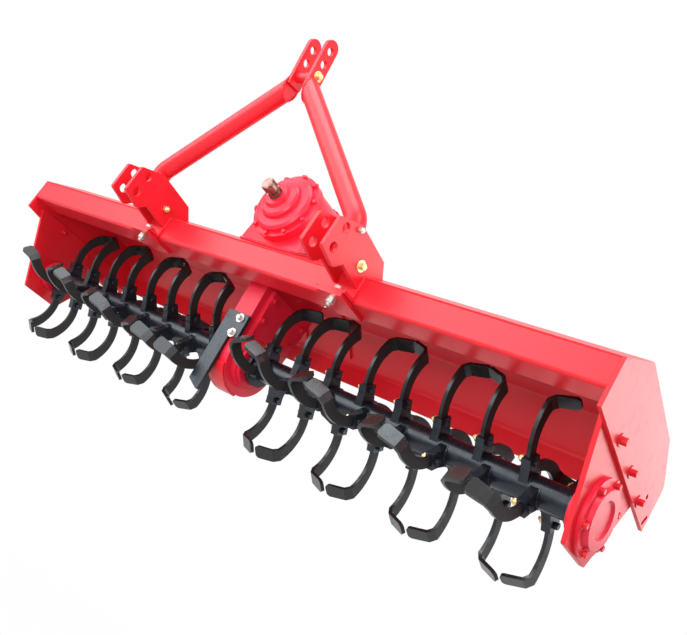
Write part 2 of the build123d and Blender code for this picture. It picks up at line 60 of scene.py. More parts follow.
ROTOR_AXIS = Vector(JOINTS["rotor_spin"]["pos_m"])
INPUT_AXIS = Vector(JOINTS["input_spin"]["pos_m"])

# Places in millimetres from the middle of the rotor axis
END_PLATE = 10.0
END_BOLTS = ((-94.0, 158.0), (49.0, 142.0), (184.0, 120.0))
FLANGE_THICK = 12.0
TUBE_R = 38.0
HOLDERS = 32
HOLDER_GAP = 18.0
HOLDER_FIRST = 21.0
HOLDER_TURN = 91.0
HOLDER_HALF = 12.3
HOLDER_BOLT_R = 70.0
HOLDER_WELD_HALF = radians(47)
PLATE_BOLT = (-306.0, 284.0)
LEG_BOLT = (-383.0, 345.0)
MAST_BOLT_DROP = 8.0
CLAMP_BOLT_BACK = 27.0
SHELF_THICK = 8.0
CAP_FLANGE = 14.0
BODY_REAR = 84.0
REAR_COVER = 14.0
SIDE_COVER_X = 138.0
SIDE_COVER_Y = -40.0
CASE_COVER_X = 47.0
CASE_BOLTS = (
    (-80.0, 120.0), (80.0, 120.0), (-86.0, 190.0), (86.0, 190.0),
    (-70.0, 255.0), (70.0, 255.0), (0.0, 255.0),
)
FOOT_THICK = 16.0
FOOT_BOLTS_X = 138.0
FOOT_BOLTS_Y = (-96.0, 0.0, 88.0)
PACKING = (236.0, 76.0, 7.0)
PACKING_BEVEL = 1.4
PACKING_PLACE = (0.0, -174.0, 325.9)
PACKING_LEAN = radians(26.9)
KNIFE_THICK = 12.0
KNIFE_BOLTS_X = 9.0
KNIFE_BOLTS_Z = (87.0, 36.0)
HOOD_FRONT_Z = 274.0
PLATE_HEEL = (-201.0, 308.0)
SADDLE_TOP = 231.0
HOOD_INSIDE = ((-168.0, 319.0), (-121.0, 343.0), (194.0, 295.0), (311.0, 212.0), (311.0, 143.0))
RAIL_SIDES = (112.0, 128.0)
RAIL_FOOT = ((-92.0, 343.5), (110.0, 313.0))
LEG_R = 30.0
LEG_HEAD = (-436.9, 724.5)
LEG_STRETCH = 1.35
LEG_TILT = radians(11.2)

# Rings of bolts: how many, their radius in millimetres and the first one's angle in degrees
FLANGE_RING = (6, 85.0, 30.0)
CAP_RING = (10, 109.0, 18.0)
REAR_RING = (8, 80.0, 22.5)
SIDE_RING = (8, 70.0, 22.5)

# Bolts, nuts and plugs, as shares of their width across the flats
HEX_SIDES = 6
HEX_CORNER = 1 / 3 ** 0.5
HEAD_CHAMFER = 0.10
HEAD_RIM = 0.16
HEAD_DISH = 0.03
WASHER_R = 0.95
WASHER_THICK = 0.16
WASHER_CHAMFER = 0.05
WASHER_SIDES = 18
NUT_TALL = 0.80
NUT_CHAMFER = 0.08
THREAD_R = 0.29
THREAD_LOW = 0.75
THREAD_SIDES = 10
THREAD_GROWTH = (1.12, 1 / 1.12, 1.12, 1 / 1.12, 0.75)
PLUG_TALL = 0.55
PLUG_CHAMFER = 0.06
COLLAR_R = 0.72
COLLAR_TALL = 0.18
COLLAR_CHAMFER = 0.05
COLLAR_SIDES = 20
NUT_SPIN = 0.3
PIN_SPIN = 0.2

# Weld beads: segments, the ripples' pitch and swell by the bead's radius, and the fewest ripples
BEAD_SIDES = 8
BEAD_PITCH = 2.2
BEAD_SWELL = 1.22
BEAD_RIPPLES = 3
RING_SEGMENTS = 32
ARC_SIDES = 6
ARC_STEPS = 10
ARC_THICK = 0.8

# Angles in degrees past which an edge stays sharp
BOLT_CREASE = 35.0
WELD_CREASE = 60.0

# How far up a face's normal has to point for the face to count as a flat top
UPRIGHT = 0.99

# Finishes: factors on the colour, covers, and what each pattern adds to the roughness
CLOUD_DARK, CLOUD_PALE, CLOUD_ROUGH = 0.88, 1.10, 0.12
DUST_SHADE, DUST_COVER, DUST_ROUGH = 0.60, 0.12, 0.10
ENAMEL_ROUGH = 0.30
RUB_COVER, RUB_ROUGH, GRAIN_ROUGH = 0.55, 0.16, 0.06
# Bluish tint on the black paints' reflections: a painted blue reflection, since the lamps and the
# room are white
PAINTED_BLUE_REFLECTION = (0.80, 0.91, 1.0, 1.0)
ROTOR_WORN = (0.014, 0.015, 0.018)
BLADE_WORN = (0.030, 0.024, 0.021)
STAIN_SHADE, SHAFT_ROUGH, STAIN_ROUGH = 0.45, 0.30, 0.22
MOTTLE_DARK, MOTTLE_PALE, PLATE_ROUGH, MOTTLE_ROUGH = 0.80, 1.15, 0.26, 0.18
BEVEL_SAMPLES = 4

# Studio: lights by the point they look at, how far off they hang and their size, in metres
MIDDLE = (CAD_LOW + CAD_HIGH) / 2
NEAR_END = (CAD_HIGH.x, MIDDLE.y, MIDDLE.z)
LIGHTS = {
    "front": ((0.0, 0.2, 0.0), (-1.6, -2.3, 0.9), (3.0, 3.0)),
    "end": (NEAR_END, (1.0, 3.0, 0.9), (2.0, 1.2)),
    "rear": ((0.45, -0.05, 0.05), (2.75, 2.6, 1.4), (1.6, 1.6)),
    "side": (MIDDLE, (2.2, -1.4, 1.6), (1.4, 1.4)),
    "low": ((0.05, 0.35, -0.2), (0.95, -2.55, -0.3), (0.9, 0.9)),
    "top": (MIDDLE, (-0.1, -1.9, 2.5), (2.0, 2.0)),
}

# Rays that see a white room
WHITE_RAYS = ("Is Camera Ray", "Is Glossy Ray", "Is Transmission Ray")
BLACK = (0.0, 0.0, 0.0, 1.0)
WHITE = (1.0, 1.0, 1.0, 1.0)

# Floor: its colour, and how white those rays see it, rising from its middle to SHADOW_TO metres
FLOOR_GREY = (0.45, 0.45, 0.45, 1.0)
SHADOW_FROM, SHADOW_TO, SHADOW_WHITE = 0.3, 1.6, 0.97

# Camera: width of the sensor in millimetres and nearest distance in metres
SENSOR_WIDTH = 36.0
CLIP_START = 0.01

bl_info = {
    "name": "Rotary tiller dress",
    "version": (1, 0, 0),
    "blender": (4, 5, 0),
    "location": "View3D > Sidebar > Tiller",
    "description": "Paint, fasteners, weld beads and studio for a three-point rotary tiller",
    "category": "Object",
}


def colour(name, words, value):
    """A colour that a user may change, given in linear light."""
    return FloatVectorProperty(
        name=name, description=words, subtype="COLOR", size=3, min=0, max=1, default=value
    )


def fraction(name, words, value):
    """A share from 0 to 1 that a user may change."""
    return FloatProperty(
        name=name, description=words, subtype="FACTOR", min=0, max=1, default=value
    )


def wattage(name, words, value):
    """The power of a light that a user may change, in watts."""
    return FloatProperty(name=name, description=words, unit="POWER", min=0, default=value)


def length(name, words, value):
    """A length that a user may change, in metres."""
    return FloatProperty(name=name, description=words, unit="LENGTH", default=value)


class TillerPaint(bpy.types.PropertyGroup):
    """Colours of the painted, plated and bare surfaces."""

    enamel: colour("Enamel", "Red paint on the welded frame", (0.70, 0.011, 0.022))
    casting: colour("Casting", "Red paint on the cast gearbox and drive case", (0.74, 0.015, 0.044))
    rotor: colour("Rotor", "Black paint on the rotor tube", (0.007, 0.009, 0.014))
    blade: colour("Blade", "Dark dip paint on the blades", (0.012, 0.009, 0.008))
    shaft: colour("Shaft", "Bare steel of the input shaft", (0.33, 0.20, 0.17))
    zinc: colour("Zinc", "Bright zinc plate", (0.62, 0.60, 0.56))
    chromate: colour("Chromate", "Yellow chromate over zinc", (0.78, 0.58, 0.28))
    gloss: fraction("Gloss", "Mirror strength of the red enamel", 0.30)
    rotor_gloss: fraction("Rotor gloss", "Mirror strength of the rotor's black paint", 0.50)
    blade_gloss: fraction("Blade gloss", "Mirror strength of the blades' dip paint", 0.48)


class TillerHardware(bpy.types.PropertyGroup):
    """Sizes of bolts across their flats, and of the weld beads."""

    end_bolt: length("End bolt", "Bolts between end plates and bearing plates", 0.017)
    bearing_bolt: length("Bearing bolt", "Bolts round the bearing flanges", 0.014)
    blade_bolt: length("Blade bolt", "Bolts through the blade holders", 0.017)
    hitch_bolt: length("Hitch bolt", "Bolts through the hitch plates and the mast", 0.018)
    leg_bolt: length("Leg bolt", "Bolts that hold the legs in the plates", 0.014)
    clamp_bolt: length("Clamp bolt", "Bolts that clamp the hitch to the beam", 0.021)
    cover_bolt: length("Cover bolt", "Bolts of the gearbox and case covers", 0.0125)
    foot_bolt: length("Foot bolt", "Bolts of the gearbox foot", 0.016)
    plug: length("Plug", "Filler and level plugs", 0.027)
    knife_bolt: length("Knife bolt", "Bolts of the fixed knife", 0.016)
    weld: length("Weld", "Half the width of a weld bead", 0.003)


class TillerStage(bpy.types.PropertyGroup):
    """Camera, floor and lights."""

    eye: FloatVectorProperty(
        name="Eye", description="Where the camera stands", subtype="XYZ", unit="LENGTH",
        default=(1.8475, -1.3862, -0.6714),
    )
    turn: FloatVectorProperty(
        name="Turn", description="How the camera is turned", subtype="EULER", unit="ROTATION",
        default=(radians(107.978), radians(-31.267), radians(31.860)),
    )
    lens: FloatProperty(
        name="Lens", description="Focal length in millimetres", unit="CAMERA", default=43.52
    )
    floor: length("Floor", "Height of the floor under the carried machine", -1.2)
    floor_size: length("Floor size", "Side of the floor sheet", 40.0)
    front: wattage("Front", "Wide light from the front", 100.0)
    end: wattage("End", "Light that rakes the near end", 19.0)
    rear: wattage("Rear", "Light behind the near hitch bracket", 34.0)
    side: wattage("Side", "High light from the near side", 45.0)
    low: wattage("Low", "Low light towards the drive case", 34.0)
    top: wattage("Top", "Light above the front", 95.0)
    ambient: fraction("Ambient", "Strength of the even light all round", 0.60)


class Wire:
    """A node's output that takes part in Python arithmetic by adding Math nodes."""

    def __init__(self, finish, socket):
        self.finish = finish
        self.socket = socket

    def math(self, operation, first, second):
        """A Math node on two values or wires."""
        return self.finish.node("ShaderNodeMath", {"operation": operation}, {0: first, 1: second})

    def __add__(self, other):
        return self.math("ADD", self, other)

    def __radd__(self, other):
        return self.math("ADD", other, self)

    def __mul__(self, other):
        return self.math("MULTIPLY", self, other)


class Finish:
    """A surface finish: a material and the nodes that feed its shader."""

    def __init__(self, name, **constants):
        self.material = bpy.data.materials.new(name)
        self.material.use_nodes = True
        self.tree = self.material.node_tree
        self.shader = self.tree.nodes["Principled BSDF"]
        for socket, value in constants.items():
            self.shader.inputs[socket.replace("_", " ")].default_value = value

    def node(self, kind, settings=None, inputs=None, output=0):
        """Add a node of any kind: its settings first, then its sockets' values or links."""
        made = self.tree.nodes.new(kind)
        for key, value in (settings or {}).items():
            if key == "stops":
                ramp = made.color_ramp.elements
                for element, (place, tint) in zip(ramp, value):
                    element.position = place
                    element.color = tint
            else:
                setattr(made, key, value)
        for key, value in (inputs or {}).items():
            if isinstance(value, Wire):
                self.tree.links.new(value.socket, made.inputs[key])
            else:
                made.inputs[key].default_value = value
        return Wire(self, made.outputs[output])

    def feed(self, socket, wire):
        """Link a value that varies over the surface to the shader."""
        self.tree.links.new(wire.socket, self.shader.inputs[socket])

    def place(self):
        """Position on the piece, in metres."""
        return self.node("ShaderNodeTexCoord", output="Object")

    def across(self):
        """How squarely a face looks along the rotor, from 0 to 1."""
        normal = self.node("ShaderNodeTexCoord", output="Normal")
        along = self.node("ShaderNodeSeparateXYZ", {}, {"Vector": normal}, "X")
        return self.node("ShaderNodeMath", {"operation": "ABSOLUTE"}, {0: along})

    def noise(self, scale, detail, roughness=0.5):
        """Cloudy variation, with the given number of clouds per metre."""
        return self.node(
            "ShaderNodeTexNoise", {},
            {"Vector": self.place(), "Scale": scale, "Detail": detail, "Roughness": roughness},
            "Fac",
        )

    def ramp(self, wire, low, high):
        """0 below low, 1 above high and an even slope between."""
        stops = [(low, BLACK), (high, WHITE)]
        return self.node("ShaderNodeValToRGB", {"stops": stops}, {"Fac": wire})

    def mix(self, share, first, second):
        """Blend of two colours."""
        return self.node(
            "ShaderNodeMix", {"data_type": "RGBA"},
            {"Factor": share, "A": flat(first), "B": flat(second)}, "Result",
        )

    def relief(self, height, strength, distance, edge=0.0):
        """Bump from a height, laid over edges that are rounded for the light."""
        inputs = {"Height": height, "Strength": strength, "Distance": distance}
        if edge:
            settings = {"samples": BEVEL_SAMPLES}
            inputs["Normal"] = self.node("ShaderNodeBevel", settings, {"Radius": edge})
        self.feed("Normal", self.node("ShaderNodeBump", {}, inputs))


def flat(value):
    """A colour with full cover, or a wire as it is."""
    return value if isinstance(value, Wire) else (*value, 1.0)


def shade(value, factor):
    """A colour made darker or lighter."""
    return tuple(min(1.0, part * factor) for part in value)


def enamel_finish(name, base, gloss, peel, edge):
    """Sprayed enamel: faint clouds in the colour, dust in the gloss and orange peel."""
    finish = Finish(name, Specular_IOR_Level=gloss, Coat_Weight=0.06, Coat_Roughness=0.25)
    clouds = finish.noise(scale=3.0, detail=4.0)
    dust = finish.ramp(finish.noise(scale=38.0, detail=6.0, roughness=0.7), low=0.52, high=0.78)
    tone = finish.mix(clouds, shade(base, CLOUD_DARK), shade(base, CLOUD_PALE))
    finish.feed("Base Color", finish.mix(dust * DUST_COVER, tone, shade(base, DUST_SHADE)))
    finish.feed("Roughness", ENAMEL_ROUGH + clouds * CLOUD_ROUGH + dust * DUST_ROUGH)
    finish.relief(finish.noise(scale=peel, detail=2.0), strength=0.08, distance=0.0008, edge=edge)
    return finish.material


def black_finish(name, base, worn, gloss, rough, side_rough):
    """Black paint over steel with a painted blue cast in its reflections, rubbed to a brown-grey in
    patches and duller on the flat sides.
    """
    # The specular tint paints a blue cast into every reflection of this paint
    finish = Finish(name, Specular_IOR_Level=gloss, Specular_Tint=PAINTED_BLUE_REFLECTION)
    rub = finish.ramp(finish.noise(scale=26.0, detail=6.0, roughness=0.65), low=0.50, high=0.72)
    grain = finish.noise(scale=110.0, detail=2.0)
    sides = finish.ramp(finish.across(), low=0.80, high=0.97)
    finish.feed("Base Color", finish.mix(rub * RUB_COVER, base, worn))
    finish.feed("Roughness", rough + rub * RUB_ROUGH + grain * GRAIN_ROUGH + sides * side_rough)
    finish.relief(grain, strength=0.10, distance=0.0006, edge=0.0012)
    return finish.material


def shaft_finish(name, base):
    """Oiled bare steel with turning marks and thin brown stain."""
    finish = Finish(name, Metallic=0.85)
    stain = finish.noise(scale=60.0, detail=5.0, roughness=0.6)
    patches = finish.ramp(stain, low=0.4, high=0.7)
    finish.feed("Base Color", finish.mix(patches, base, shade(base, STAIN_SHADE)))
    finish.feed("Roughness", SHAFT_ROUGH + stain * STAIN_ROUGH)
    finish.relief(finish.noise(scale=420.0, detail=2.0), strength=0.12, distance=0.0004)
    return finish.material


def plated_finish(name, base):
    """Zinc plate with a fine crystal mottle."""
    finish = Finish(name, Metallic=0.7)
    mottle = finish.noise(scale=300.0, detail=4.0)
    dark, pale = shade(base, MOTTLE_DARK), shade(base, MOTTLE_PALE)
    finish.feed("Base Color", finish.mix(mottle, dark, pale))
    finish.feed("Roughness", PLATE_ROUGH + mottle * MOTTLE_ROUGH)
    return finish.material


FINISHES = {}

CASTINGS = (
    "centre_case", "gearbox_case", "input_cap", "bearing_housing_left", "bearing_housing_right",
)
SHAFTS = ("input_shaft",)
ROTOR_STEEL = ("rotor_tube", "rotor_stub", "rotor_hub", "centre_knife")


def finish_of(node):
    """The finish that a node of the machine wears."""
    if node in CASTINGS:
        return "casting"
    if node in SHAFTS:
        return "shaft"
    if node.startswith("blades_"):
        return "blade"
    if node.startswith("mast_leg_"):
        return "tube"
    if node.startswith(ROTOR_STEEL):
        return "rotor"
    return "enamel"


class TILLER_OT_paint(bpy.types.Operator):
    """Mix the finishes and give every node of the machine its own"""

    bl_idname = "tiller.paint"
    bl_label = "Paint the machine"

    def execute(self, context):
        paint = context.scene.tiller_paint
        enamel, casting = tuple(paint.enamel), tuple(paint.casting)
        rotor, blade = tuple(paint.rotor), tuple(paint.blade)
        gloss = paint.gloss
        FINISHES["enamel"] = enamel_finish("red_enamel", enamel, gloss, peel=260.0, edge=0.002)
        FINISHES["tube"] = enamel_finish("tube_enamel", enamel, gloss, peel=200.0, edge=0.0)
        FINISHES["casting"] = enamel_finish("cast_enamel", casting, gloss, peel=150.0, edge=0.002)
        FINISHES["rotor"] = black_finish(
            "rotor_black", rotor, ROTOR_WORN, paint.rotor_gloss, rough=0.24, side_rough=0.15
        )
        FINISHES["blade"] = black_finish(
            "blade_black", blade, BLADE_WORN, paint.blade_gloss, rough=0.20, side_rough=0.42
        )
        FINISHES["shaft"] = shaft_finish("oiled_shaft", tuple(paint.shaft))
        FINISHES["zinc"] = plated_finish("zinc_plate", tuple(paint.zinc))
        FINISHES["chromate"] = plated_finish("yellow_chromate", tuple(paint.chromate))
        for name, node in NODES.items():
            node.data.materials.clear()
            node.data.materials.append(FINISHES[finish_of(name)])
        return {"FINISHED"}


def at(x, y, z):
    """A place given in millimetres from the middle of the rotor axis."""
    return ROTOR_AXIS + Vector((x, y, z)) / 1000


def facing(place, direction, spin=0.0):
    """Matrix that stands a piece modelled along Z on a place, pointing in a direction.

    The spin, in radians, is any number that keeps neighbouring hexagons from lining up.
    """
    turn = Vector(direction).to_track_quat("Z", "Y").to_matrix().to_4x4()
    return Matrix.Translation(place) @ turn @ Matrix.Rotation(spin, 4, "Z")


def edit(piece, wanted=None):
    """Enter edit mode with the wanted faces selected, or with everything."""
    bpy.ops.object.mode_set(mode="EDIT")
    bpy.ops.mesh.select_mode(type="FACE" if wanted else "VERT")
    bpy.ops.mesh.select_all(action="DESELECT" if wanted else "SELECT")
    if wanted:
        mesh = bmesh.from_edit_mesh(piece.data)
        for face in mesh.faces:
            face.select_set(wanted(face))
        bmesh.update_edit_mesh(piece.data)


def leave():
    """Turn all normals outward and go back to object mode."""
    bpy.ops.mesh.select_all(action="SELECT")
    bpy.ops.mesh.normals_make_consistent(inside=False)
    bpy.ops.object.mode_set(mode="OBJECT")


def top_face(face):
    """The flat end of a piece that points up."""
    return face.normal.z > UPRIGHT


def join(pieces, name):
    """Several objects made one, at the origin and unturned."""
    bpy.ops.object.select_all(action="DESELECT")
    for piece in pieces:
        piece.select_set(True)
    bpy.context.view_layer.objects.active = pieces[0]
    bpy.ops.object.transform_apply(location=True, rotation=True, scale=True)
    if len(pieces) > 1:
        bpy.ops.object.join()
    made = bpy.context.object
    made.name = name
    return made


def prism(sides, radius, low, tall, chamfer):
    """A many-sided block on Z with a chamfer round its top."""
    straight = tall - chamfer
    bpy.ops.object.select_all(action="DESELECT")
    bpy.ops.mesh.primitive_cylinder_add(
        vertices=sides, radius=radius, depth=straight, location=(0, 0, low + straight / 2)
    )
    piece = bpy.context.object
    edit(piece, top_face)
    bpy.ops.mesh.extrude_region_move(TRANSFORM_OT_translate={"value": (0, 0, chamfer)})
    shrink = 1 - chamfer / radius
    bpy.ops.transform.resize(value=(shrink, shrink, 1))
    leave()
    return piece


def bolt_head(across, tall=0.65, washer=True):
    """Hexagon head on a thin washer, standing on the origin."""
    thick = WASHER_THICK * across if washer else 0.0
    head = prism(HEX_SIDES, HEX_CORNER * across, thick, tall * across, HEAD_CHAMFER * across)
    edit(head, top_face)
    bpy.ops.mesh.inset(thickness=HEAD_RIM * across, depth=-HEAD_DISH * across)
    leave()
    parts = [head]
    if washer:
        parts.append(prism(WASHER_SIDES, WASHER_R * across, 0.0, thick, WASHER_CHAMFER * across))
    return join(parts, "bolt_head")


def nut(across, stub=0.5):
    """Hexagon nut with the ridged end of its bolt."""
    hexagon = prism(HEX_SIDES, HEX_CORNER * across, 0.0, NUT_TALL * across, NUT_CHAMFER * across)
    bpy.ops.object.select_all(action="DESELECT")
    bpy.ops.mesh.primitive_circle_add(
        vertices=THREAD_SIDES, radius=THREAD_R * across, location=(0, 0, THREAD_LOW * across)
    )
    thread = bpy.context.object
    edit(thread)
    rise = stub * across / (len(THREAD_GROWTH) + 1)
    for grow in THREAD_GROWTH:
        bpy.ops.mesh.extrude_region_move(TRANSFORM_OT_translate={"value": (0, 0, rise)})
        bpy.ops.transform.resize(value=(grow, grow, 1))
    bpy.ops.mesh.edge_face_add()
    leave()
    return join([hexagon, thread], "nut")


def scatter(name, master, places):
    """A copy of a modelled piece at every place, all joined; the master itself goes."""
    copies = []
    for place in places:
        copy = master.copy()
        copy.data = master.data.copy()
        bpy.context.scene.collection.objects.link(copy)
        copy.matrix_world = place
        copies.append(copy)
    bpy.data.objects.remove(master)
    if not copies:
        raise RuntimeError(f"{name} has no place to stand")
    return join(copies, name)


def dress(piece, finish, body, crease=BOLT_CREASE):
    """Give a finished piece its paint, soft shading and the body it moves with."""
    if not piece.data.polygons:
        raise RuntimeError(f"{piece.name} has no faces")
    piece.data.materials.clear()
    piece.data.materials.append(FINISHES[finish])
    bpy.ops.object.select_all(action="DESELECT")
    piece.select_set(True)
    bpy.context.view_layer.objects.active = piece
    bpy.ops.object.shade_smooth_by_angle(angle=radians(crease))
    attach(piece, body)


def ring_of(count, radius, first=0.0):
    """Offsets of places spaced evenly round a circle, from a first angle in degrees."""
    for i in range(count):
        angle = radians(first) + 2 * pi * i / count
        yield radius * cos(angle), radius * sin(angle)


def reach(node):
    """Lowest and highest corner of a node, in millimetres from the middle of the rotor axis."""
    low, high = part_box(node)
    return (Vector(low) - ROTOR_AXIS) * 1000, (Vector(high) - ROTOR_AXIS) * 1000


class TILLER_OT_end_bolts(bpy.types.Operator):
    """Bolts that hold the bearing plates inside the end plates, with their nuts"""

    bl_idname = "tiller.end_bolts"
    bl_label = "End plate bolts"

    def execute(self, context):
        across = context.scene.tiller_hardware.end_bolt
        outside = reach("end_plate_left")[1].x
        inside = reach("bearing_plate_left")[0].x
        heads, nuts = [], []
        for side in (1, -1):
            for y, z in END_BOLTS:
                heads.append(facing(at(side * outside, y, z), (side, 0, 0), y))
                nuts.append(facing(at(side * inside, y, z), (-side, 0, 0), z))
        made = scatter("end_bolt_heads", bolt_head(across, tall=0.85), heads)
        dress(made, "enamel", "frame")
        dress(scatter("end_bolt_nuts", nut(across), nuts), "enamel", "frame")
        return {"FINISHED"}


class TILLER_OT_bearing_bolts(bpy.types.Operator):
    """Bolts round the flange of each bearing housing"""

    bl_idname = "tiller.bearing_bolts"
    bl_label = "Bearing bolts"

    def execute(self, context):
        across = context.scene.tiller_hardware.bearing_bolt
        face = reach("bearing_plate_left")[1].x + FLANGE_THICK
        places = []
        for side in (1, -1):
            for y, z in ring_of(*FLANGE_RING):
                places.append(facing(at(side * face, y, z), (side, 0, 0), y))
        made = scatter("bearing_bolts", bolt_head(across, tall=0.7), places)
        dress(made, "enamel", "frame")
        return {"FINISHED"}


def blade_places():
    """Where each blade holder stands on the rotor: its X in millimetres and its angle."""
    inner, outer = (corner.x for corner in reach("rotor_tube_left"))
    start = inner + HOLDER_GAP
    pitch = (outer - HOLDER_GAP - start) / (HOLDERS - 1)
    for side in (1, -1):
        for i in range(HOLDERS):
            step = i if side > 0 else HOLDERS - 1 - i
            angle = HOLDER_FIRST + step * HOLDER_TURN + (0 if side > 0 else 180)
            yield side * (start + i * pitch), radians(angle)


class TILLER_OT_blade_bolts(bpy.types.Operator):
    """One bolt and nut across every blade holder"""

    bl_idname = "tiller.blade_bolts"
    bl_label = "Blade bolts"

    def execute(self, context):
        across = context.scene.tiller_hardware.blade_bolt
        heads, nuts = [], []
        for x, angle in blade_places():
            y, z = -HOLDER_BOLT_R * sin(angle), HOLDER_BOLT_R * cos(angle)
            heads.append(facing(at(x + HOLDER_HALF, y, z), (1, 0, 0), angle))
            nuts.append(facing(at(x - HOLDER_HALF, y, z), (-1, 0, 0), angle))
        made = scatter("blade_bolt_heads", bolt_head(across, tall=0.6, washer=False), heads)
        dress(made, "rotor", "rotor")
        made = scatter("blade_bolt_nuts", nut(across, stub=0.45), nuts)
        dress(made, "chromate", "rotor")
        return {"FINISHED"}


class TILLER_OT_hitch_bolts(bpy.types.Operator):
    """Plated bolts through the hitch plates, the clamps and the mast straps"""

    bl_idname = "tiller.hitch_bolts"
    bl_label = "Hitch bolts"

    def execute(self, context):
        sizes = context.scene.tiller_hardware
        near = reach("hitch_plate_inner_left")[0].x
        far = reach("hitch_plate_outer_left")[1].x
        heads, nuts = [], []
        for side in (1, -1):
            heads.append(facing(at(side * far, *PLATE_BOLT), (side, 0, 0)))
            nuts.append(facing(at(side * near, *PLATE_BOLT), (-side, 0, 0), NUT_SPIN))
        low, high = reach("mast_spacer")
        strap = reach("mast_strap_left")[1].x
        y, z = (low.y + high.y) / 2, high.z - MAST_BOLT_DROP
        heads.append(facing(at(strap, y, z), (1, 0, 0)))
        nuts.append(facing(at(-strap, y, z), (-1, 0, 0)))
        made = scatter("hitch_bolt_heads", bolt_head(sizes.hitch_bolt), heads)
        dress(made, "chromate", "frame")
        pins = [facing(at(side * far, *LEG_BOLT), (side, 0, 0), PIN_SPIN) for side in (1, -1)]
        dress(scatter("leg_bolts", nut(sizes.leg_bolt), pins), "zinc", "frame")
        made = scatter("hitch_bolt_nuts", nut(sizes.hitch_bolt), nuts)
        dress(made, "chromate", "frame")
        shelf = reach("hitch_saddle_left")
        clamp = reach("beam_clamp_left")
        middle = (clamp[0].x + clamp[1].x) / 2
        y = shelf[0].y + CLAMP_BOLT_BACK
        tops = [facing(at(s * middle, y, clamp[1].z + SHELF_THICK), (0, 0, 1)) for s in (1, -1)]
        feet = [facing(at(s * middle, y, clamp[0].z), (0, 0, -1)) for s in (1, -1)]
        made = scatter("clamp_bolt_heads", bolt_head(sizes.clamp_bolt), tops)
        dress(made, "zinc", "frame")
        made = scatter("clamp_bolt_nuts", nut(sizes.clamp_bolt), feet)
        dress(made, "zinc", "frame")
        return {"FINISHED"}


class TILLER_OT_gearbox_bolts(bpy.types.Operator):
    """Cover bolts, foot bolts and plugs of the gearbox, and the cover bolts of the drive case"""

    bl_idname = "tiller.gearbox_bolts"
    bl_label = "Gearbox bolts and plugs"

    def execute(self, context):
        sizes = context.scene.tiller_hardware
        axis = (INPUT_AXIS - ROTOR_AXIS) * 1000
        high = reach("gearbox_case")[1]
        flange = reach("input_cap")[1].y - CAP_FLANGE
        covers = []
        for a, b in ring_of(*CAP_RING):
            covers.append(facing(at(a, flange, axis.z + b), (0, -1, 0), a))
        for a, b in ring_of(*REAR_RING):
            covers.append(facing(at(a, BODY_REAR + REAR_COVER, axis.z + b), (0, 1, 0), a))
        for side in (1, -1):
            for a, b in ring_of(*SIDE_RING):
                place = at(side * SIDE_COVER_X, SIDE_COVER_Y + a, axis.z + b)
                covers.append(facing(place, (side, 0, 0), b))
        for y, z in CASE_BOLTS:
            covers.append(facing(at(CASE_COVER_X, y, z), (1, 0, 0), y))
        made = scatter("cover_bolts", bolt_head(sizes.cover_bolt), covers)
        dress(made, "casting", "frame")
        foot = reach("centre_case")[1].z + FOOT_THICK
        feet = []
        for side in (1, -1):
            for y in FOOT_BOLTS_Y:
                feet.append(facing(at(side * FOOT_BOLTS_X, y, foot), (0, 0, 1), y))
        made = scatter("foot_bolts", bolt_head(sizes.foot_bolt), feet)
        dress(made, "casting", "frame")
        plugs = [
            facing(at(0, SIDE_COVER_Y, high.z), (0, 0, 1)),
            facing(at(0, high.y, axis.z), (0, 1, 0)),
        ]
        across = sizes.plug
        hexagon = prism(
            HEX_SIDES, HEX_CORNER * across, 0.0, PLUG_TALL * across, PLUG_CHAMFER * across
        )
        collar = prism(
            COLLAR_SIDES, COLLAR_R * across, 0.0, COLLAR_TALL * across, COLLAR_CHAMFER * across
        )
        plug = join([hexagon, collar], "plug")
        dress(scatter("gearbox_plugs", plug, plugs), "zinc", "frame")
        return {"FINISHED"}


class TILLER_OT_packing(bpy.types.Operator):
    """Packing plate that fills the slit between the gearbox and the hood's front slope"""

    bl_idname = "tiller.packing"
    bl_label = "Gearbox packing"

    def execute(self, context):
        bpy.ops.object.select_all(action="DESELECT")
        bpy.ops.mesh.primitive_cube_add(size=1.0)
        plate = context.object
        edit(plate)
        bpy.ops.transform.resize(value=[side / 1000 for side in PACKING])
        bpy.ops.mesh.bevel(offset=PACKING_BEVEL / 1000, segments=2)
        leave()
        place = Matrix.Translation(at(*PACKING_PLACE)) @ Matrix.Rotation(PACKING_LEAN, 4, "X")
        dress(scatter("gearbox_packing", plate, [place]), "casting", "frame")
        return {"FINISHED"}


class TILLER_OT_knife_bolts(bpy.types.Operator):
    """Two bright bolts that hold the fixed knife to the drive case"""

    bl_idname = "tiller.knife_bolts"
    bl_label = "Knife bolts"

    def execute(self, context):
        across = context.scene.tiller_hardware.knife_bolt
        low, high = reach("centre_knife")
        lean = (high.y - low.y - KNIFE_THICK) / (high.z - low.z)
        out = Vector((0, -1, -lean)).normalized()
        places = []
        for z in KNIFE_BOLTS_Z:
            y = low.y + (high.z - z) * lean
            places.append(facing(at(KNIFE_BOLTS_X, y, z), out, z))
        dress(scatter("knife_bolts", bolt_head(across), places), "zinc", "frame")
        return {"FINISHED"}


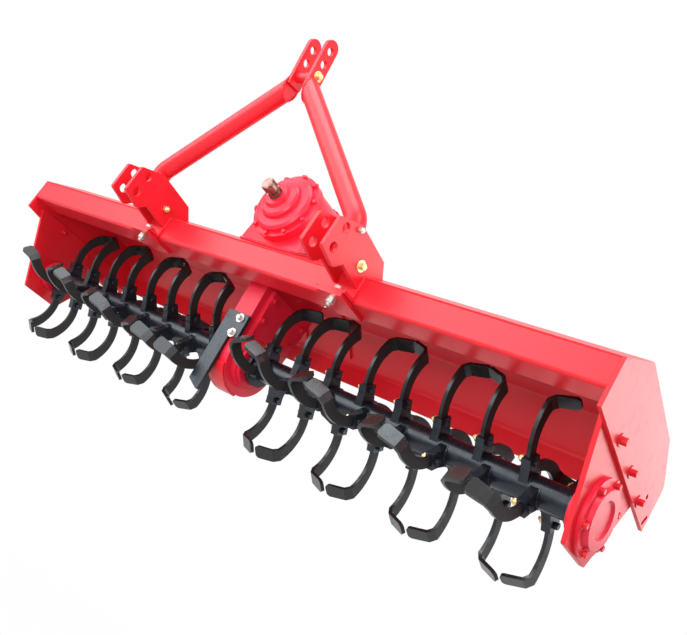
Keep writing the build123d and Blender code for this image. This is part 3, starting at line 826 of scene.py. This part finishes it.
def bead(start, end, radius):
    """A rippled weld bead between two places."""
    run = end - start
    ripples = max(BEAD_RIPPLES, round(run.length / (BEAD_PITCH * radius)))
    pitch = run.length / ripples
    bpy.ops.object.select_all(action="DESELECT")
    bpy.ops.mesh.primitive_circle_add(vertices=BEAD_SIDES, radius=radius)
    made = bpy.context.object
    edit(made)
    for grow in (BEAD_SWELL, 1 / BEAD_SWELL):
        bpy.ops.mesh.extrude_region_move(TRANSFORM_OT_translate={"value": (0, 0, pitch / 2)})
        bpy.ops.transform.resize(value=(grow, grow, 1))
    leave()
    bpy.ops.object.modifier_add(type="ARRAY")
    row = made.modifiers[-1]
    row.count = ripples
    row.use_relative_offset = False
    row.use_constant_offset = True
    row.constant_offset_displace = (0, 0, pitch)
    row.use_merge_vertices = True
    bpy.ops.object.modifier_apply(modifier=row.name)
    edit(made)
    bpy.ops.mesh.fill_holes(sides=BEAD_SIDES)
    leave()
    made.matrix_world = facing(start, run)
    return made


def ring_bead(radius, thick, stretch=1.0):
    """A weld bead round a tube along Z, longer one way where the tube is cut aslant."""
    bpy.ops.object.select_all(action="DESELECT")
    bpy.ops.mesh.primitive_torus_add(
        major_radius=radius, minor_radius=thick,
        major_segments=RING_SEGMENTS, minor_segments=BEAD_SIDES,
    )
    made = bpy.context.object
    edit(made)
    bpy.ops.transform.resize(value=(stretch, 1, 1))
    leave()
    return made


class TILLER_OT_frame_welds(bpy.types.Operator):
    """Weld beads of the hitch plates, saddles, beam, hood and gearbox rails"""

    bl_idname = "tiller.frame_welds"
    bl_label = "Frame welds"

    def execute(self, context):
        thick = context.scene.tiller_hardware.weld
        beads = []
        front = reach("main_beam")[0].y
        end = reach("end_plate_left")[1].x - END_PLATE
        hitch = (*reach("hitch_plate_inner_left"), *reach("hitch_plate_outer_left"))
        plates = [corner.x for corner in hitch]
        saddle = [corner.x for corner in reach("hitch_saddle_left")]
        for side in (1, -1):
            for x in plates:
                edge = at(side * x, front, HOOD_FRONT_Z)
                beads.append(bead(edge, at(side * x, *PLATE_HEEL), thick))
                beads.append(bead(at(side * x, front, SADDLE_TOP), edge, thick))
            for start, stop in zip(HOOD_INSIDE, HOOD_INSIDE[1:]):
                beads.append(bead(at(side * end, *start), at(side * end, *stop), thick))
            for x in RAIL_SIDES:
                beads.append(bead(at(side * x, *RAIL_FOOT[0]), at(side * x, *RAIL_FOOT[1]), thick))
            inner, outer = (at(side * x, front, SADDLE_TOP) for x in saddle)
            beads.append(bead(inner, outer, thick))
        dress(join(beads, "frame_welds"), "enamel", "frame", WELD_CREASE)
        return {"FINISHED"}


class TILLER_OT_mast_welds(bpy.types.Operator):
    """Weld beads round the cut heads of the mast legs"""

    bl_idname = "tiller.mast_welds"
    bl_label = "Mast welds"

    def execute(self, context):
        thick = context.scene.tiller_hardware.weld
        strap = reach("mast_strap_left")[1].x
        turn = Matrix.Rotation(LEG_TILT, 4, "X") @ Matrix.Rotation(radians(90), 4, "Y")
        places = [Matrix.Translation(at(side * strap, *LEG_HEAD)) @ turn for side in (1, -1)]
        made = scatter("mast_welds", ring_bead(LEG_R / 1000, thick, LEG_STRETCH), places)
        dress(made, "enamel", "frame", WELD_CREASE)
        return {"FINISHED"}


class TILLER_OT_rotor_welds(bpy.types.Operator):
    """Weld beads round the rotor tube's ends and along both sides of every blade holder"""

    bl_idname = "tiller.rotor_welds"
    bl_label = "Rotor welds"

    def execute(self, context):
        thick = context.scene.tiller_hardware.weld
        tube = TUBE_R / 1000
        ends = [corner.x for corner in reach("rotor_tube_left")]
        turn = Matrix.Rotation(radians(90), 4, "Y")
        rings = [Matrix.Translation(at(side * x, 0, 0)) @ turn for side in (1, -1) for x in ends]
        made = scatter("tube_end_welds", ring_bead(tube, thick), rings)
        dress(made, "rotor", "rotor", WELD_CREASE)
        bpy.ops.object.select_all(action="DESELECT")
        bpy.ops.mesh.primitive_circle_add(
            vertices=ARC_SIDES, radius=ARC_THICK * thick, location=(0, 0, tube)
        )
        arc = bpy.context.object
        arc.rotation_euler = (radians(90), 0, 0)
        bpy.ops.object.transform_apply(location=True, rotation=True, scale=True)
        edit(arc)
        bpy.ops.transform.rotate(
            value=-HOLDER_WELD_HALF, orient_axis="X", orient_type="GLOBAL",
            center_override=(0, 0, 0),
        )
        bpy.ops.mesh.spin(
            steps=ARC_STEPS, angle=2 * HOLDER_WELD_HALF, dupli=False,
            center=(0, 0, 0), axis=(1, 0, 0),
        )
        bpy.ops.mesh.select_all(action="SELECT")
        bpy.ops.mesh.fill_holes(sides=ARC_SIDES)
        leave()
        places = []
        for x, angle in blade_places():
            for side in (1, -1):
                spot = Matrix.Translation(at(x + side * HOLDER_HALF, 0, 0))
                places.append(spot @ Matrix.Rotation(angle, 4, "X"))
        made = scatter("holder_welds", arc, places)
        dress(made, "rotor", "rotor", WELD_CREASE)
        return {"FINISHED"}


def light(name, target, offset, power, size):
    """A soft light that hangs off a point and looks at it."""
    lamp = bpy.data.lights.new(name, "AREA")
    lamp.shape = "RECTANGLE"
    lamp.energy = power
    lamp.size, lamp.size_y = size
    lit = bpy.data.objects.new(name, lamp)
    bpy.context.scene.collection.objects.link(lit)
    lit.location = Vector(target) + Vector(offset)
    lit.rotation_euler = (-Vector(offset)).to_track_quat("-Z", "Y").to_euler()


def floor_finish():
    """Grey floor that the camera and mirrors see as white, with a soft share of its shadow."""
    finish = Finish("floor_white", Roughness=0.9)
    finish.shader.inputs["Base Color"].default_value = FLOOR_GREY
    place = {0: finish.place()}
    away = finish.node("ShaderNodeVectorMath", {"operation": "LENGTH"}, place, "Value")
    inputs = {
        "Value": away, "From Min": SHADOW_FROM, "From Max": SHADOW_TO,
        "To Min": SHADOW_WHITE, "To Max": 1.0,
    }
    cover = finish.node("ShaderNodeMapRange", {"interpolation_type": "SMOOTHSTEP"}, inputs)
    straight, mirrored, through = (
        finish.node("ShaderNodeLightPath", output=ray) for ray in WHITE_RAYS
    )
    glow = finish.node("ShaderNodeEmission", {}, {"Color": WHITE, "Strength": 1.0})
    plain = Wire(finish, finish.shader.outputs[0])
    seen = (straight + mirrored + through) * cover
    lifted = finish.node("ShaderNodeMixShader", {}, {0: seen, 1: plain, 2: glow})
    finish.tree.links.new(lifted.socket, finish.tree.nodes["Material Output"].inputs["Surface"])
    return finish.material


def set_world(scene, ambient):
    """Even light all round, which the camera and mirrors see as white."""
    world = bpy.data.worlds.new("studio")
    scene.world = world
    world.use_nodes = True
    tree = world.node_tree
    path = tree.nodes.new("ShaderNodeLightPath")
    sky = tree.nodes["Background"]
    white = tree.nodes.new("ShaderNodeBackground")
    for room, strength in ((sky, ambient), (white, 1.0)):
        room.inputs["Strength"].default_value = strength
        room.inputs["Color"].default_value = WHITE
    for ray in WHITE_RAYS:
        blend = tree.nodes.new("ShaderNodeMixShader")
        tree.links.new(path.outputs[ray], blend.inputs[0])
        tree.links.new(sky.outputs[0], blend.inputs[1])
        tree.links.new(white.outputs[0], blend.inputs[2])
        sky = blend
    tree.links.new(sky.outputs[0], tree.nodes["World Output"].inputs["Surface"])


class TILLER_OT_stage(bpy.types.Operator):
    """Lay the floor, hang the lights and set the camera"""

    bl_idname = "tiller.stage"
    bl_label = "Set the stage"

    def execute(self, context):
        stage = context.scene.tiller_stage
        bpy.ops.object.select_all(action="DESELECT")
        bpy.ops.mesh.primitive_plane_add(size=stage.floor_size, location=(0, 0, stage.floor))
        floor = context.object
        floor.name = "floor"
        floor.data.materials.append(floor_finish())
        for key, (target, offset, size) in LIGHTS.items():
            light(f"{key}_light", target, offset, getattr(stage, key), size)
        set_world(context.scene, stage.ambient)
        eye = bpy.data.cameras.new("camera")
        eye.lens = stage.lens
        eye.sensor_width = SENSOR_WIDTH
        eye.sensor_fit = "HORIZONTAL"
        eye.clip_start = CLIP_START
        camera = bpy.data.objects.new("camera", eye)
        context.scene.collection.objects.link(camera)
        camera.location = stage.eye
        camera.rotation_euler = stage.turn
        context.scene.camera = camera
        context.scene.view_settings.view_transform = "Standard"
        return {"FINISHED"}


OPERATORS = (
    TILLER_OT_paint,
    TILLER_OT_end_bolts,
    TILLER_OT_bearing_bolts,
    TILLER_OT_blade_bolts,
    TILLER_OT_hitch_bolts,
    TILLER_OT_gearbox_bolts,
    TILLER_OT_packing,
    TILLER_OT_knife_bolts,
    TILLER_OT_frame_welds,
    TILLER_OT_mast_welds,
    TILLER_OT_rotor_welds,
    TILLER_OT_stage,
)


class TILLER_PT_sidebar(bpy.types.Panel):
    """Lists the steps that dress the tiller and the values behind them"""

    bl_idname = "TILLER_PT_sidebar"
    bl_label = "Rotary tiller"
    bl_space_type = "VIEW_3D"
    bl_region_type = "UI"
    bl_category = "Tiller"

    def draw(self, context):
        """Show one button for each step, then the settings in boxes."""
        for step in OPERATORS:
            self.layout.operator(step.bl_idname)
        scene = context.scene
        for settings in (scene.tiller_paint, scene.tiller_hardware, scene.tiller_stage):
            box = self.layout.box()
            for key in settings.bl_rna.properties.keys():
                if key not in ("rna_type", "name"):
                    box.prop(settings, key)


SETTINGS = {
    "tiller_paint": TillerPaint,
    "tiller_hardware": TillerHardware,
    "tiller_stage": TillerStage,
}
CLASSES = (*SETTINGS.values(), *OPERATORS, TILLER_PT_sidebar)


def register():
    """Add the classes and their settings to Blender."""
    for each in CLASSES:
        bpy.utils.register_class(each)
    for name, group in SETTINGS.items():
        setattr(bpy.types.Scene, name, PointerProperty(type=group))


def unregister():
    """Take the settings and the classes out again."""
    for name in SETTINGS:
        delattr(bpy.types.Scene, name)
    for each in reversed(CLASSES):
        bpy.utils.unregister_class(each)


def main():
    """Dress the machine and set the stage."""
    register()
    bpy.ops.tiller.paint()
    bpy.ops.tiller.end_bolts()
    bpy.ops.tiller.bearing_bolts()
    bpy.ops.tiller.blade_bolts()
    bpy.ops.tiller.hitch_bolts()
    bpy.ops.tiller.gearbox_bolts()
    bpy.ops.tiller.packing()
    bpy.ops.tiller.knife_bolts()
    bpy.ops.tiller.frame_welds()
    bpy.ops.tiller.mast_welds()
    bpy.ops.tiller.rotor_welds()
    bpy.ops.tiller.stage()


if __name__ == "__main__":
    main()
